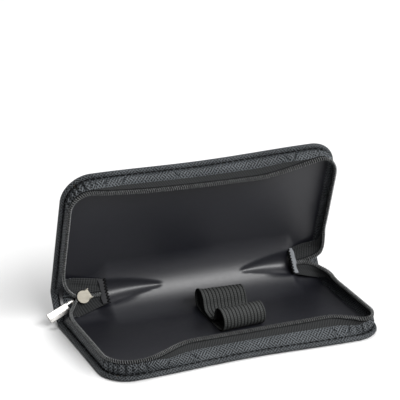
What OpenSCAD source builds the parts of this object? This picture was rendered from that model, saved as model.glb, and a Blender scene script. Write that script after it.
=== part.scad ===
// Zip-round pen case for two fountain pens, standing open on its bottom cover.
// X runs along the spine, the spine is at +Y, the front edge at -Y, and the case
// rests on z = 0. The origin is the centre of the bottom cover's outer face.

/* [Covers] */
// Length of the case along the spine
case_l = 170; // [150:1:190]
// Width of one cover, from the fold line to the front rim
case_w = 80; // [72:1:90]
// Radius of the two front corners of each cover
corner_r = 17; // [12:1:22]
// How far the bottom cover's front rim is pulled in at its middle
bottom_bow = 2.6; // [0:0.1:4]
// How far the top cover's front rim is pulled in at its middle
top_bow = 1.4; // [0:0.1:4]
// Thickness of the outer skin
skin_t = 0.8; // [0.6:0.1:1]
// Thickness of the stiffening board
board_t = 1.2; // [0.8:0.1:1.6]
// Thickness of the lining
lining_t = 0.4; // [0.3:0.1:0.6]
// Width of the skin's edge that is turned in over the board
turn_in = 4.2; // [3:0.1:6]

/* [Spine and opening] */
// Distance between the two fold lines of the spine
spine_w = 19.6; // [18:0.2:24]
// Angle between the covers
open_deg = 75; // [40:1:110]

/* [Zip] */
// Distance of the coil from the rim along the short sides
coil_side = 3; // [2.6:0.1:4]
// Distance of the coil from the rim at the middle of the long side
coil_front = 15; // [8:0.5:18]
// Thickness of the coil
coil_d = 1.6; // [1.2:0.1:2]
// Share of the side strip that is skin, and not zip tape
gusset_share = 0.55; // [0.4:0.05:0.7]
// Thickness of the zip tape
tape_t = 0.5; // [0.4:0.1:0.6]
// Length of the pull tab from its hinge to its tip
pull_l = 18; // [16:1:26]
// Width of the pull tab
pull_w = 5.8; // [5:0.2:7]
// Turn of the slider towards the bottom cover
slider_turn = 22; // [0:1:24]

/* [Pen loops] */
// Outer diameter of each elastic loop
loop_d = 12.8; // [11:0.2:14]
// Thickness of the elastic
elastic_t = 1.2; // [1:0.1:1.4]
// Width of the elastic band, along the pens
band_w = 30; // [20:1:40]
// Left end of the elastic band
band_x = -4; // [-30:1:20]
// Where the band is sewn to the lining
seam_y = 9.8; // [8:0.1:12]
// Centre of the front loop
front_loop_y = -2.2; // [-4:0.1:0]
// Centre of the rear loop
rear_loop_y = 24.2; // [22:0.1:26]

/* [Seams] */
// Distance from one stitch to the next
stitch_pitch = 3.6; // [3:0.1:5]
// Length of a stitch
stitch_l = 2.4; // [1.5:0.1:2.8]
// Distance of the seam from the rim
seam_inset = 2.3; // [2:0.1:2.6]

/* [Hidden] */

gap = 0.05;                            // face clearance between layers
cut = 1;                               // overrun of a cutting tool
cover_t = skin_t + board_t + skin_t;   // a cover at its rim
floor_z = skin_t + board_t + lining_t; // top of the bottom lining
half_t = cover_t / 2;                  // height of a fold line above the outer face
fold_y = case_w / 2;                   // the fold lines' place in the closed case
closed_t = spine_w + 2 * half_t;       // thickness of the closed case
rear_y = fold_y - 0.4;                 // rear edge of a cover
strip_rear_y = fold_y - 6.5;           // rear end of a side strip

corner_x = case_l / 2 - corner_r;
corner_y = corner_r - case_w / 2;
side_n = 8;                            // stations along a short side
corner_n = 12;                         // stations round a corner
front_n = 36;                          // stations along the front

mating_gap = 0.15;                     // from a coil to the case's mid-plane
coil_z = closed_t / 2 - mating_gap - coil_d / 2;
strip_foot = 3.4;                      // middle of the side strip's foot, from the rim
strip_z = cover_t + gusset_share * (coil_z - cover_t);

groove_w = 0.9;                        // groove that the outer stitches lie in
groove_t = 0.35;
thread_w = 0.6;
thread_t = 0.3;

tape_off = 5;                          // zip tape's height over the spine at its ends
slider_x = -68.2;
zip_r = 12.2;                          // the joined coils' place across the spine

// ---------- Outlines ----------

// How far the front rim is pulled in at x
function bow_at(x, bow) = bow * (1 + cos(180 * x / corner_x)) / 2;

function smooth(t) = let (u = min(1, max(0, t))) u * u * (3 - 2 * u);

// The coil's distance from the straight rim at x: near at the corners, far between
function coil_inset(x) =
    coil_side + (coil_front - coil_side)
    * smooth((x + corner_x - 4) / 36) * smooth((corner_x + 4 - x) / 32);

// Stations round the three free sides, left to right: [x, y, inward x, inward y]
function rim(bow, rear) = concat(
    [for (i = [0:side_n - 1])
        [-case_l / 2, rear + (corner_y - rear) * i / side_n, 1, 0]],
    [for (i = [0:corner_n - 1]) let (a = 180 + 90 * i / corner_n)
        [-corner_x + corner_r * cos(a), corner_y + corner_r * sin(a), -cos(a), -sin(a)]],
    [for (i = [0:front_n]) let (x = corner_x * (2 * i / front_n - 1))
        [x, -case_w / 2 + bow_at(x, bow), 0, 1]],
    [for (i = [1:corner_n]) let (a = 270 + 90 * i / corner_n)
        [corner_x + corner_r * cos(a), corner_y + corner_r * sin(a), -cos(a), -sin(a)]],
    [for (i = [1:side_n])
        [case_l / 2, corner_y + (rear - corner_y) * i / side_n, -1, 0]]
);

function inwards(s, d) = [s[0] + s[2] * d, s[1] + s[3] * d];

module outline(inset, bow, rear) {
    polygon([for (s = rim(bow, rear)) inwards(s, inset)]);
}

// A solid through a list of rings that all have the same number of points
module sweep(rings) {
    n = len(rings[0]);
    last = len(rings) - 1;
    polyhedron(
        points = [for (r = rings) each r],
        faces = concat(
            [[for (i = [0:n - 1]) i]],
            [for (k = [0:last - 1], i = [0:n - 1]) let (j = (i + 1) % n)
                [k * n + j, k * n + i, (k + 1) * n + i, (k + 1) * n + j]],
            [[for (i = [n - 1:-1:0]) last * n + i]]
        ),
        convexity = 8
    );
}

// ---------- Places ----------

// From the closed case to the spine's place in the open one
module on_spine() {
    translate([0, fold_y, half_t]) rotate([-open_deg / 2, 0, 0])
        translate([0, -fold_y, -half_t]) children();
}

// From a bottom half to the top one: over the spine, face down, then opened
module on_lid() {
    on_spine() translate([0, fold_y, half_t + spine_w]) rotate([-open_deg / 2, 0, 0])
        translate([0, -fold_y, half_t]) mirror([0, 0, 1]) children();
}

// A frame on the spine: x along it, y across it from the lower fold, z towards the inside
module on_spine_face() {
    on_spine() translate([0, fold_y, half_t]) rotate([90, 0, 0]) children();
}

// The slider's frame: x towards its wide end, z towards its lug, on the back of the tape
module on_slider() {
    on_spine_face() translate([slider_x, zip_r, tape_off]) mirror([0, 0, 1])
        rotate([0, 0, 180 + slider_turn]) children();
}

// ---------- One half of the case, lying open on its outer face ----------

module cover(bow) {
    difference() {
        linear_extrude(cover_t) outline(0, bow, rear_y);
        translate([0, 0, skin_t]) linear_extrude(board_t) outline(skin_t, bow, rear_y + cut);
        translate([0, 0, skin_t + board_t - gap]) linear_extrude(skin_t + cut)
            outline(turn_in, bow, rear_y + cut);
        translate([0, 0, -cut]) linear_extrude(cut + groove_t) difference() {
            outline(seam_inset - groove_w / 2, bow, rear_y + cut);
            outline(seam_inset + groove_w / 2, bow, rear_y + 2 * cut);
        }
    }
}

module board(bow) {
    translate([0, 0, skin_t]) linear_extrude(board_t - gap)
        outline(skin_t + gap, bow, rear_y - gap);
}

module lining(bow) {
    translate([0, 0, skin_t + board_t]) linear_extrude(lining_t)
        outline(turn_in + gap, bow, rear_y - gap);
}

// The skin strip that stands on the turned-in edge and leans in to the tape
module gusset(bow) {
    feet = rim(bow, strip_rear_y);
    tops = rim(0, strip_rear_y);
    sweep([for (i = [0:len(feet) - 1]) let (
        top = mid_inset(feet[i], tops[i]),
        a = inwards(feet[i], strip_foot - skin_t / 2),
        b = inwards(feet[i], strip_foot + skin_t / 2),
        c = inwards(tops[i], top + skin_t / 2),
        d = inwards(tops[i], top - skin_t / 2)
    ) [[a[0], a[1], cover_t], [b[0], b[1], cover_t], [c[0], c[1], strip_z], [d[0], d[1], strip_z]]]);
}

// Inset of the join between gusset and tape, measured from the straight rim
function mid_inset(foot, top) = let (
    pull = (foot[1] - top[1]) * top[3],
    start = strip_foot + pull
) start + gusset_share * (coil_inset(top[0]) - start);

module zip_tape(bow) {
    feet = rim(bow, strip_rear_y);
    tops = rim(0, strip_rear_y);
    sweep([for (i = [0:len(tops) - 1]) let (
        low = mid_inset(feet[i], tops[i]),
        high = coil_inset(tops[i][0]),
        a = inwards(tops[i], low - tape_t / 2),
        b = inwards(tops[i], low + tape_t / 2),
        c = inwards(tops[i], high + tape_t / 2),
        d = inwards(tops[i], high - tape_t / 2),
        z = coil_z - coil_d / 2
    ) [[a[0], a[1], strip_z], [b[0], b[1], strip_z], [c[0], c[1], z], [d[0], d[1], z]]]);
}

module zip_coil() {
    sweep([for (s = rim(0, strip_rear_y)) [for (k = [0:7]) let (
        a = 22.5 + 45 * k,
        p = inwards(s, coil_inset(s[0]) + coil_d / 2 * cos(a) / cos(22.5))
    ) [p[0], p[1], coil_z + coil_d / 2 * sin(a) / cos(22.5)]]]);
}

// Middles and directions of the stitches round one half: [x, y, angle]
function seam(bow) = let (
    side = rear_y - corner_y,
    r = corner_r - seam_inset,
    n_side = floor(side / stitch_pitch),
    n_corner = round(PI * r / 2 / stitch_pitch),
    n_front = round(2 * corner_x / stitch_pitch)
) concat(
    [for (m = [-1, 1], i = [0:n_side - 1])
        [m * (case_l / 2 - seam_inset), corner_y + (i + 0.5) * side / n_side, 90]],
    [for (m = [-1, 1], i = [0:n_corner - 1]) let (a = 270 + m * 90 * (i + 0.5) / n_corner)
        [m * corner_x + r * cos(a), corner_y + r * sin(a), a - 90]],
    [for (i = [0:n_front - 1]) let (
        step = 2 * corner_x / n_front,
        x = -corner_x + (i + 0.5) * step,
        slope = bow_at(x + 0.5, bow) - bow_at(x - 0.5, bow)
    ) [x, seam_inset - case_w / 2 + bow_at(x, bow), atan(slope)]]
);

// The thread, on the turned-in edge inside and in the groove outside
module stitching(bow) {
    for (s = seam(bow), z = [groove_t - thread_t, cover_t])
        translate([s[0], s[1], z]) rotate([0, 0, s[2]])
            translate([-stitch_l / 2, -thread_w / 2, 0]) cube([stitch_l, thread_w, thread_t]);
}

// ---------- Bottom half ----------

module bottom_cover() { color("#2f3236") cover(bottom_bow); }
module bottom_board() { color("#8a7f70") board(bottom_bow); }
module bottom_lining() { color("#1f2023") lining(bottom_bow); }
module bottom_gusset() { color("#3a3d40") gusset(bottom_bow); }
module bottom_zip_tape() { color("#242526") zip_tape(bottom_bow); }
module bottom_zip_coil() { color("#4a4b4d") zip_coil(); }
module bottom_stitching() { color("#6a6c6e") stitching(bottom_bow); }

// ---------- Top half ----------

module top_cover() { color("#2f3236") on_lid() cover(top_bow); }
module top_board() { color("#8a7f70") on_lid() board(top_bow); }
module top_lining() { color("#1f2023") on_lid() lining(top_bow); }
module top_gusset() { color("#3a3d40") on_lid() gusset(top_bow); }
module top_zip_tape() { color("#242526") on_lid() zip_tape(top_bow); }
module top_zip_coil() { color("#4a4b4d") on_lid() zip_coil(); }
module top_stitching() { color("#6a6c6e") on_lid() stitching(top_bow); }

// ---------- Spine ----------

module spine_cover() {
    margin = 0.4;
    color("#2f3236") on_spine_face() translate([-case_l / 2, margin, -half_t])
        cube([case_l, spine_w - 2 * margin, skin_t]);
}

// The lining bridges the inner corner on a shallow arch
module spine_lining() {
    left = -60;
    right = 60;
    edge = 1.5;
    rise = 2.4;
    n = 16;
    base = 0.8 - half_t + skin_t;
    function arch(t, up) = [edge + t * (spine_w - 2 * edge), base + rise * sin(180 * t) + up];
    color("#2a2b2e") on_spine_face() translate([left, 0, 0]) rotate([90, 0, 90])
        linear_extrude(right - left) polygon(concat(
            [for (i = [0:n]) arch(i / n, lining_t)],
            [for (i = [n:-1:0]) arch(i / n, 0)]
        ));
}

tab_margin = 1.6;                      // from a fold line to a tab's edge
tab_t = 0.6;
left_tab_x = [-76, -54];
right_tab_x = [62.6, 80];
right_coil_x = 67.2;                   // where the right coil's joined stretch ends
left_coil = [-10.6, 1.4];              // the left one's ends, in the slider's frame
coil_slot = coil_d + 0.7;              // width of the slot that a tab leaves for its coil
slot_l = 32;

// A tape end, turned in and sewn down over the spine
module end_tab(x) {
    translate([x[0], tab_margin, tape_off - tab_t / 2])
        cube([x[1] - x[0], spine_w - 2 * tab_margin, tab_t]);
}

module left_end_tab() {
    color("#333537") difference() {
        on_spine_face() end_tab(left_tab_x);
        on_slider() translate([left_coil[0] - cut, -coil_slot / 2, -tab_t])
            cube([slot_l, coil_slot, 2 * tab_t]);
    }
}

module right_end_tab() {
    color("#333537") on_spine_face() difference() {
        end_tab(right_tab_x);
        translate([right_coil_x - 0.6, zip_r - coil_slot / 2, tape_off - tab_t])
            cube([slot_l, coil_slot, 2 * tab_t]);
    }
}

ribbon_w = 3.6;
ribbon_t = 0.4;
ribbon_inset = 2.2;                    // a ribbon's middle, from the end of its tab
ribbon_margin = tab_margin + 0.6;
ribbon_x = [left_tab_x[1] - ribbon_inset, right_tab_x[0] + ribbon_inset];

module tab_ribbon(x) {
    translate([x - ribbon_w / 2, ribbon_margin, tape_off + tab_t / 2])
        cube([ribbon_w, spine_w - 2 * ribbon_margin, ribbon_t]);
}

module left_tab_ribbon() { color("#505356") on_spine_face() tab_ribbon(ribbon_x[0]); }
module right_tab_ribbon() { color("#8f9294") on_spine_face() tab_ribbon(ribbon_x[1]); }

// A row of slanted stitches along the middle of each ribbon
module tab_stitching() {
    n = 9;
    size = [1.8, 0.4, 0.25];
    margin = ribbon_margin + 0.2;
    pitch = (spine_w - 2 * margin) / n;
    color("#121212") on_spine_face()
        for (x = ribbon_x, i = [0:n - 1])
            translate([x, margin + (i + 0.5) * pitch, tape_off + tab_t / 2 + ribbon_t])
                rotate([0, 0, i % 2 == 0 ? 50 : 130])
                    translate([-size[0] / 2, -size[1] / 2, 0]) cube(size);
}

// The joined coils at the two ends of the zip
module left_zip_coil() {
    color("#3f4042") on_slider() translate([left_coil[0], 0, 0]) rotate([0, 90, 0])
        cylinder(d = coil_d, h = left_coil[1] - left_coil[0], $fn = 24);
}

module right_zip_coil() {
    color("#3f4042") on_spine_face() translate([right_coil_x, zip_r, tape_off]) rotate([0, 90, 0])
        cylinder(d = coil_d, h = right_tab_x[1] - right_coil_x, $fn = 24);
}

// ---------- Slider and pull ----------

plate_t = 0.7;
plate_gap = 2.4;
plate_r = 4;
disc_x = 0.4;                          // centre of a plate's round end
neck_w = 5.4;
neck_l = 5;
rail = 0.6;                            // side rails that keep the coil in the neck
post_x = 2.9;                          // the post that parts the two coils
post_r = 0.8;
lug_x = 5.8;                           // pull hinge, just beyond the wide end
lug_w = 2;
lug_back = -0.2;
lug_end = 1.8;                         // lug beyond the hinge
lug_over = 0.55;                       // lug over the hinge's loop
pin_r = 0.75;
pin_clearance = 0.06;
pull_t = 1.5;
pull_lift = 0.35;                      // pull over the plate
pin_z = plate_gap / 2 + plate_t + pull_lift + pull_t / 2;
window_w = lug_w + 1;                  // the pull's opening for the lug
window_l = 3.4;
arm_w = 1.4;                           // the pull's two arms beside the opening

module slider_plate() {
    linear_extrude(plate_t) {
        translate([disc_x, 0]) circle(r = plate_r, $fn = 64);
        translate([-neck_l, -neck_w / 2]) square([neck_l, neck_w]);
    }
}

module slider() {
    lug_z = plate_gap / 2 + plate_t / 2;
    color("#b9b6ae") on_slider() {
        for (m = [0, 1]) mirror([0, 0, m]) {
            translate([0, 0, plate_gap / 2]) slider_plate();
            for (s = [-1, 1])
                translate([-neck_l, s * (neck_w - rail) / 2 - rail / 2, plate_gap / 2 - rail])
                    cube([neck_l, rail, rail + plate_t / 7]);
        }
        translate([post_x, 0, -plate_gap / 2 - plate_t / 2])
            cylinder(r = post_r, h = plate_gap + plate_t, $fn = 32);
        difference() {
            translate([lug_back, -lug_w / 2, lug_z])
                cube([lug_x + lug_end - lug_back, lug_w, pin_z - lug_z + pull_t / 2 + lug_over]);
            translate([lug_x, lug_w, pin_z]) rotate([90, 0, 0])
                cylinder(r = pin_r + pin_clearance, h = 2 * lug_w, $fn = 48);
        }
    }
}

module pull_tab() {
    color("#c9c9cb") on_slider() translate([lug_x, 0, pin_z]) {
        rotate([90, 0, 0]) cylinder(r = pin_r, h = window_w + 1, center = true, $fn = 48);
        for (s = [-1, 1]) translate([0, s * (window_w + arm_w) / 2, 0]) hull() {
            rotate([90, 0, 0]) cylinder(d = pull_t, h = arm_w, center = true, $fn = 32);
            translate([window_l, -arm_w / 2, -pull_t / 2]) cube([rail, arm_w, pull_t]);
        }
        translate([window_l, -pull_w / 2, -pull_t / 2]) cube([pull_l - window_l, pull_w, pull_t]);
    }
}

// ---------- Pen loops ----------

loop_r = loop_d / 2;
loop_z = floor_z + loop_r;

// One band, folded into two tubes that are sewn down along one line between them
module pen_loops() {
    color("#4b4d4d") translate([band_x, 0, 0]) difference() {
        union() {
            for (y = [front_loop_y, rear_loop_y]) translate([0, y, loop_z]) rotate([0, 90, 0])
                cylinder(r = loop_r, h = band_w, $fn = 96);
            translate([0, front_loop_y, floor_z])
                cube([band_w, rear_loop_y - front_loop_y, elastic_t]);
        }
        for (y = [front_loop_y, rear_loop_y]) translate([-cut, y, loop_z]) rotate([0, 90, 0])
            cylinder(r = loop_r - elastic_t, h = band_w + 2 * cut, $fn = 96);
    }
}

module loop_stitching() {
    n = floor(band_w / 3);
    color("#1a1a1a") for (i = [0:n - 1])
        translate([band_x + (i + 0.5) * band_w / n - 0.9, seam_y - 0.25, floor_z + elastic_t])
            cube([1.8, 0.5, 0.3]);
}

// ---------- What is drawn ----------

bottom_cover();
bottom_board();
bottom_lining();
bottom_gusset();
bottom_zip_tape();
bottom_zip_coil();
bottom_stitching();
pen_loops();
loop_stitching();
top_cover();
top_board();
top_lining();
top_gusset();
top_zip_tape();
top_zip_coil();
top_stitching();
spine_cover();
spine_lining();
left_end_tab();
right_end_tab();
left_tab_ribbon();
right_tab_ribbon();
tab_stitching();
left_zip_coil();
right_zip_coil();
slider();
pull_tab();
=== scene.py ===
import math

import bmesh
import bpy
import numpy as np
from mathutils import Matrix, Vector


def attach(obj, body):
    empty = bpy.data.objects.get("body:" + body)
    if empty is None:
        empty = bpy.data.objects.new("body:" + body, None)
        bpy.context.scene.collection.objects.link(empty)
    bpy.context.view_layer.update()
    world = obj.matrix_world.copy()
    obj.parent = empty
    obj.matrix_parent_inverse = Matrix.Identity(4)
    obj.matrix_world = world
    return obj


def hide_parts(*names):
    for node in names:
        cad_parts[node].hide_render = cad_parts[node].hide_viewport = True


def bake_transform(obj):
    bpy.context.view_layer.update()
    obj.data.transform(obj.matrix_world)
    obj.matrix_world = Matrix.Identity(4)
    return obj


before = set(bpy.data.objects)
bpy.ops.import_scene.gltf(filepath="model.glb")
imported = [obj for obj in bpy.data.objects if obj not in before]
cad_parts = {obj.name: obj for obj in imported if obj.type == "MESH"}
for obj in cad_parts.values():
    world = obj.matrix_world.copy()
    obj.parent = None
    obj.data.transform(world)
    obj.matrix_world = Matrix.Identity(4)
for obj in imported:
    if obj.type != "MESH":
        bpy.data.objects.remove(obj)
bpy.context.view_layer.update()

# ---------- Places. Lengths are in millimetres until a mesh is made ----------

CASE_L, CASE_W, CORNER_R = 170.0, 80.0, 17.0
COVER_T, HALF_T = 2.8, 1.4  # a cover's thickness, and half of it
FOLD_Y, SPINE_W = 40.0, 19.6  # the bottom fold's line, and the spine from fold to fold
CORNER_X, CORNER_Y = CASE_L / 2 - CORNER_R, CORNER_R - CASE_W / 2
TURN = math.radians(37.5)  # half of the opening angle
SIN, COS = math.sin(TURN), math.cos(TURN)
BODY = {"bottom": "bottom", "top": "lid"}
BOW = {"bottom": 2.6, "top": 1.4}  # how far the front edge bows in
FOOT, SEAM = 3.4, 2.3  # insets of a strip's foot and of the rim's seam
SEWN_Z, COIL_Z = 6.9, 10.25  # heights of a tape's sewn edge and of its coil
SEWN_INSET = {"bottom": 4.0, "top": 6.0}  # coil inset beyond which the tape shows over the strip
COIL_SIDE = 3.0  # the coil's inset along the sides
COIL_FRONT = {"bottom": 15.6, "top": 12.3} # and along the front
COIL_PITCH = 1.27
SLIDER_X, ZIP_R, TAPE_N = -68.2, 12.2, 5.0 # the slider's place on the spine
SLIDER_TURN = math.radians(202)
LUG_X, PIN_Z = 5.8, 3.0  # the pull's pin in the slider's frame
RIB = 2.15  # the elastic's ribs, from one to the next
METRES = 0.001  # a millimetre in metres
MM = 0.01  # a millimetre in the cut coordinates
SHARP = math.radians(58)  # a fold of the mesh above this stays a sharp edge


def turned(p):
    q = np.array(p, float)
    y, z = q[..., 1].copy(), q[..., 2].copy()
    q[..., 1] = y * COS + z * SIN
    q[..., 2] = z * COS - y * SIN
    return q


def on_spine(p):
    fold = np.array([0, FOLD_Y, HALF_T])
    return turned(np.asarray(p, float) - fold) + fold


def base(p):
    return np.array(p, float)


def lid(p):
    """From a point of the bottom half's shape to the same point of the top half."""
    q = np.array(p, float)
    q[..., 2] *= -1
    q = turned(q + np.array([0, -FOLD_Y, HALF_T])) + np.array([0, FOLD_Y, HALF_T + SPINE_W])
    return on_spine(q)


def S(x, r, n):
    """x along the spine, r across it from the bottom fold, n towards the inside."""
    return on_spine(np.stack(np.broadcast_arrays(
        np.asarray(x, float), FOLD_Y - np.asarray(n, float), HALF_T + np.asarray(r, float)), -1))


def spine_rn(p):
    """The r and n of points."""
    d = np.asarray(p, float) - np.array([0, FOLD_Y, HALF_T])
    return d[..., 1] * SIN + d[..., 2] * COS, d[..., 2] * SIN - d[..., 1] * COS


def on_slider(p):
    """From the slider's frame: x to its wide end, z to its lug."""
    a, b, c = np.moveaxis(np.asarray(p, float), -1, 0)
    ct, st = math.cos(SLIDER_TURN), math.sin(SLIDER_TURN)
    return S(SLIDER_X + a * ct - b * st, ZIP_R + a * st + b * ct, TAPE_N - c)


def smooth(t):
    t = np.clip(t, 0, 1)
    return t * t * (3 - 2 * t)


def bump_at(t, centre, width):
    return np.exp(-(((t - centre) / width) ** 2))


def curve(points, per):
    """Catmull-Rom samples through points, per of them in each interval."""
    p = np.array(points, float)
    p = np.vstack([2 * p[0] - p[1], p, 2 * p[-1] - p[-2]])
    t = np.linspace(0, 1, per, endpoint=False)[:, None]
    out = []
    for i in range(1, len(p) - 2):
        a, b, c, d = p[i - 1:i + 3]
        out.append(0.5 * (2 * b + (c - a) * t + (2 * a - 5 * b + 4 * c - d) * t ** 2
                          + (3 * b - a - 3 * c + d) * t ** 3))
    return np.vstack(out + [p[-2][None]])


def lengths(p):
    return np.concatenate([[0], np.cumsum(np.linalg.norm(np.diff(p, axis=0), axis=1))])


def sampled(places, s, *curves):
    """Points of curves measured by s, at some places along them."""
    return [np.stack([np.interp(places, s, q[:, k]) for k in range(3)], 1) for q in curves]


def resample(p, n, *others):
    """n samples at even distances along p, and the same places along the others."""
    s = lengths(p)
    return sampled(np.linspace(0, s[-1], n), s, p, *others)


def unit(v):
    return v / np.maximum(np.linalg.norm(v, axis=-1, keepdims=True), 1e-9)


def normals(p):
    return unit(np.cross(np.gradient(p, axis=0), np.gradient(p, axis=1)))


# ---------- Outlines ----------

def bow_at(x, bow):
    return bow * (1 + np.cos(math.pi * x / CORNER_X)) / 2


def coil_inset(x, half):
    """The coil's distance from the rim: it sags inwards along the long side."""
    sag = COIL_FRONT[half] - COIL_SIDE
    left_run = 36.0
    if half == "bottom":
        from_left = smooth((x + CORNER_X - 4) / left_run)
        right_end, right_run = CORNER_X + 13, 27.0
    else:
        from_left = 1 - math.exp(-(x + CASE_L / 2) / left_run)
        right_end, right_run = CASE_L / 2, 55.0
    return COIL_SIDE + sag * from_left * smooth((right_end - x) / right_run)


def on_corner(x, degrees):
    """A station on a corner's arc: x, y and the inward direction."""
    a = math.radians(degrees)
    c, s = math.cos(a), math.sin(a)
    return x + CORNER_R * c, CORNER_Y + CORNER_R * s, -c, -s


def rim(bow, rear, sides, corner, front):
    """Stations round the three free sides from left to right: x, y and the inward direction."""
    out = [(-CASE_L / 2, rear + (CORNER_Y - rear) * i / sides, 1, 0) for i in range(sides)]
    out += [on_corner(-CORNER_X, 180 + 90 * i / corner) for i in range(corner)]
    for i in range(front + 1):
        x = CORNER_X * (2 * i / front - 1)
        out.append((x, -CASE_W / 2 + bow_at(x, bow), 0, 1))
    out += [on_corner(CORNER_X, 270 + 90 * i / corner) for i in range(1, corner + 1)]
    out += [(CASE_L / 2, CORNER_Y + (rear - CORNER_Y) * i / sides, -1, 0) for i in range(1, sides + 1)]
    return np.array(out)


def front_edge(x, inset, bow):
    """y of the panel's front edge, inset from the rim, at x."""
    r = CORNER_R - inset
    over = np.clip(np.abs(x) - CORNER_X, 0, r)
    straight = inset - CASE_W / 2 + bow_at(x, bow)
    return np.where(np.abs(x) <= CORNER_X, straight, CORNER_Y - np.sqrt(r * r - over ** 2))


# ---------- Mesh making ----------

def make(name, verts, faces, material, uv=None, flat=False):
    mesh = bpy.data.meshes.new(name)
    mesh.from_pydata((np.asarray(verts, float) * METRES).tolist(), [], faces)
    mesh.validate()
    if uv is not None:
        layer = mesh.uv_layers.new(name="cut")
        index = np.empty(len(mesh.loops), int)
        mesh.loops.foreach_get("vertex_index", index)
        layer.data.foreach_set("uv", (np.asarray(uv, float)[index] * MM).ravel())
    work = bmesh.new()
    work.from_mesh(mesh)
    bmesh.ops.recalc_face_normals(work, faces=work.faces)
    work.to_mesh(mesh)
    work.free()
    mesh.polygons.foreach_set("use_smooth", [not flat] * len(mesh.polygons))
    if not flat:
        mesh.set_sharp_from_angle(angle=SHARP)
    mesh.materials.append(material)
    obj = bpy.data.objects.new(name, mesh)
    bpy.context.collection.objects.link(obj)
    return obj


def grid_faces(nu, nv, at=0, flip=False):
    i, j = np.meshgrid(np.arange(nu - 1), np.arange(nv - 1), indexing="ij")
    a = (at + i * nv + j).ravel()
    quads = np.stack([a, a + nv, a + nv + 1, a + 1], 1)
    return (quads[:, ::-1] if flip else quads).tolist()


def grid_uv(p):
    """Distances along the two directions of a grid."""
    u = lengths(p[:, p.shape[1] // 2])
    v = lengths(p[p.shape[0] // 2])
    return np.stack(np.meshgrid(u, v, indexing="ij"), -1).reshape(-1, 2)


def skin(name, p, material):
    """An open surface through a grid of points."""
    return make(name, p.reshape(-1, 3), grid_faces(*p.shape[:2]), material, grid_uv(p))


def shell(name, front, back, material, uv):
    """A closed sheet from two grids of points, joined round their edges."""
    nu, nv = front.shape[:2]
    count = nu * nv
    faces = grid_faces(nu, nv) + grid_faces(nu, nv, count, True)
    ring = [(i, 0) for i in range(nu)] + [(nu - 1, j) for j in range(1, nv)]
    ring += [(i, nv - 1) for i in range(nu - 2, -1, -1)] + [(0, j) for j in range(nv - 2, 0, -1)]
    ids = [i * nv + j for i, j in ring]
    for a, b in zip(ids, ids[1:] + ids[:1]):
        faces.append([a, b, b + count, a + count])
    verts = np.vstack([front.reshape(-1, 3), back.reshape(-1, 3)])
    return make(name, verts, faces, material, np.vstack([uv, uv]))


def thick(name, p, t, material):
    """A closed sheet of thickness t about a grid of points."""
    n = normals(p)
    return shell(name, p + n * t / 2, p - n * t / 2, material, grid_uv(p))


def tube_points(path, across, up, radius, sides):
    """Rings about a path. across and up span each ring."""
    a = np.arange(sides) * 2 * math.pi / sides
    ring = across[:, None] * np.cos(a)[None, :, None] + up[:, None] * np.sin(a)[None, :, None]
    return path[:, None] + radius * ring


def ring_faces(rings, sides, at=0):
    """Faces along a row of rings, and over both of its ends."""
    faces = []
    for low in range(at, at + (rings - 1) * sides, sides):
        for k in range(sides):
            m = (k + 1) % sides
            faces.append([low + k, low + m, low + sides + m, low + sides + k])
    last = at + (rings - 1) * sides
    return faces + [list(range(at, at + sides)), list(range(last, last + sides))]


def ring_uv(path, radius, sides):
    return np.stack([np.repeat(lengths(path), sides), np.tile(np.arange(sides) * radius, len(path))], 1)


def tube(name, paths, radius, sides, material):
    """Closed tubes along several paths, in one mesh."""
    verts, faces, uvs, at = [], [], [], 0
    for path in paths:
        t = unit(np.gradient(path, axis=0))
        ref = np.where(np.abs(t[:, 2:3]) > 0.9, np.array([[1.0, 0, 0]]), np.array([[0, 0, 1.0]]))
        across = unit(np.cross(t, ref))
        verts.append(tube_points(path, across, np.cross(t, across), radius, sides).reshape(-1, 3))
        faces += ring_faces(len(path), sides, at)
        uvs.append(ring_uv(path, radius, sides))
        at += len(path) * sides
    return make(name, np.vstack(verts), faces, material, np.vstack(uvs))


def wire(name, path, core, radius, sides, material):
    """A tube whose rings are set by the line from its core, as for a coil."""
    t = unit(np.gradient(path, axis=0))
    out = unit(path - core)
    out = unit(out - t * np.sum(out * t, -1, keepdims=True))
    rings = tube_points(path, out, np.cross(t, out), radius, sides)
    faces = ring_faces(len(path), sides)
    return make(name, rings.reshape(-1, 3), faces, material, ring_uv(path, radius, sides))


def extruded(outline, z0, z1, bevel):
    """A closed slab on an outline in x, y, with bevelled edges."""
    o = np.array(outline, float)
    along = unit(np.roll(o, -1, 0) - o) + unit(o - np.roll(o, 1, 0))
    n = unit(np.stack([-along[:, 1], along[:, 0]], 1))
    if np.sum(o[:, 0] * np.roll(o[:, 1], -1) - o[:, 1] * np.roll(o[:, 0], -1)) < 0:
        n = -n
    layers = [(z0, bevel), (z0 + bevel, 0), (z1 - bevel, 0), (z1, bevel)]
    verts = np.vstack([np.column_stack([o + n * inset, np.full(len(o), z)]) for z, inset in layers])
    return verts, ring_faces(len(layers), len(o))


def mirrored(part, sign):
    """A part, or for a sign of -1 its mirror image under z = 0."""
    verts, faces = part
    return verts * np.array([1, 1, sign]), faces


def upright(part):
    """A slab stood up: its outline's y becomes z."""
    verts, faces = part
    return verts[:, [0, 2, 1]], faces


def circle(x, radius, sides=24):
    turn = np.linspace(0, 2 * math.pi, sides, endpoint=False)
    return [(x + radius * math.cos(a), radius * math.sin(a)) for a in turn]


def merged(parts):
    verts, faces, at = [], [], 0
    for v, f in parts:
        verts.append(v)
        faces += [[at + i for i in face] for face in f]
        at += len(v)
    return np.vstack(verts), faces


# ---------- Materials ----------

def nodes_of(name):
    material = bpy.data.materials.new(name)
    material.use_nodes = True
    tree = material.node_tree
    shader = next(n for n in tree.nodes if n.type == "BSDF_PRINCIPLED")
    return material, tree, shader


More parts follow.
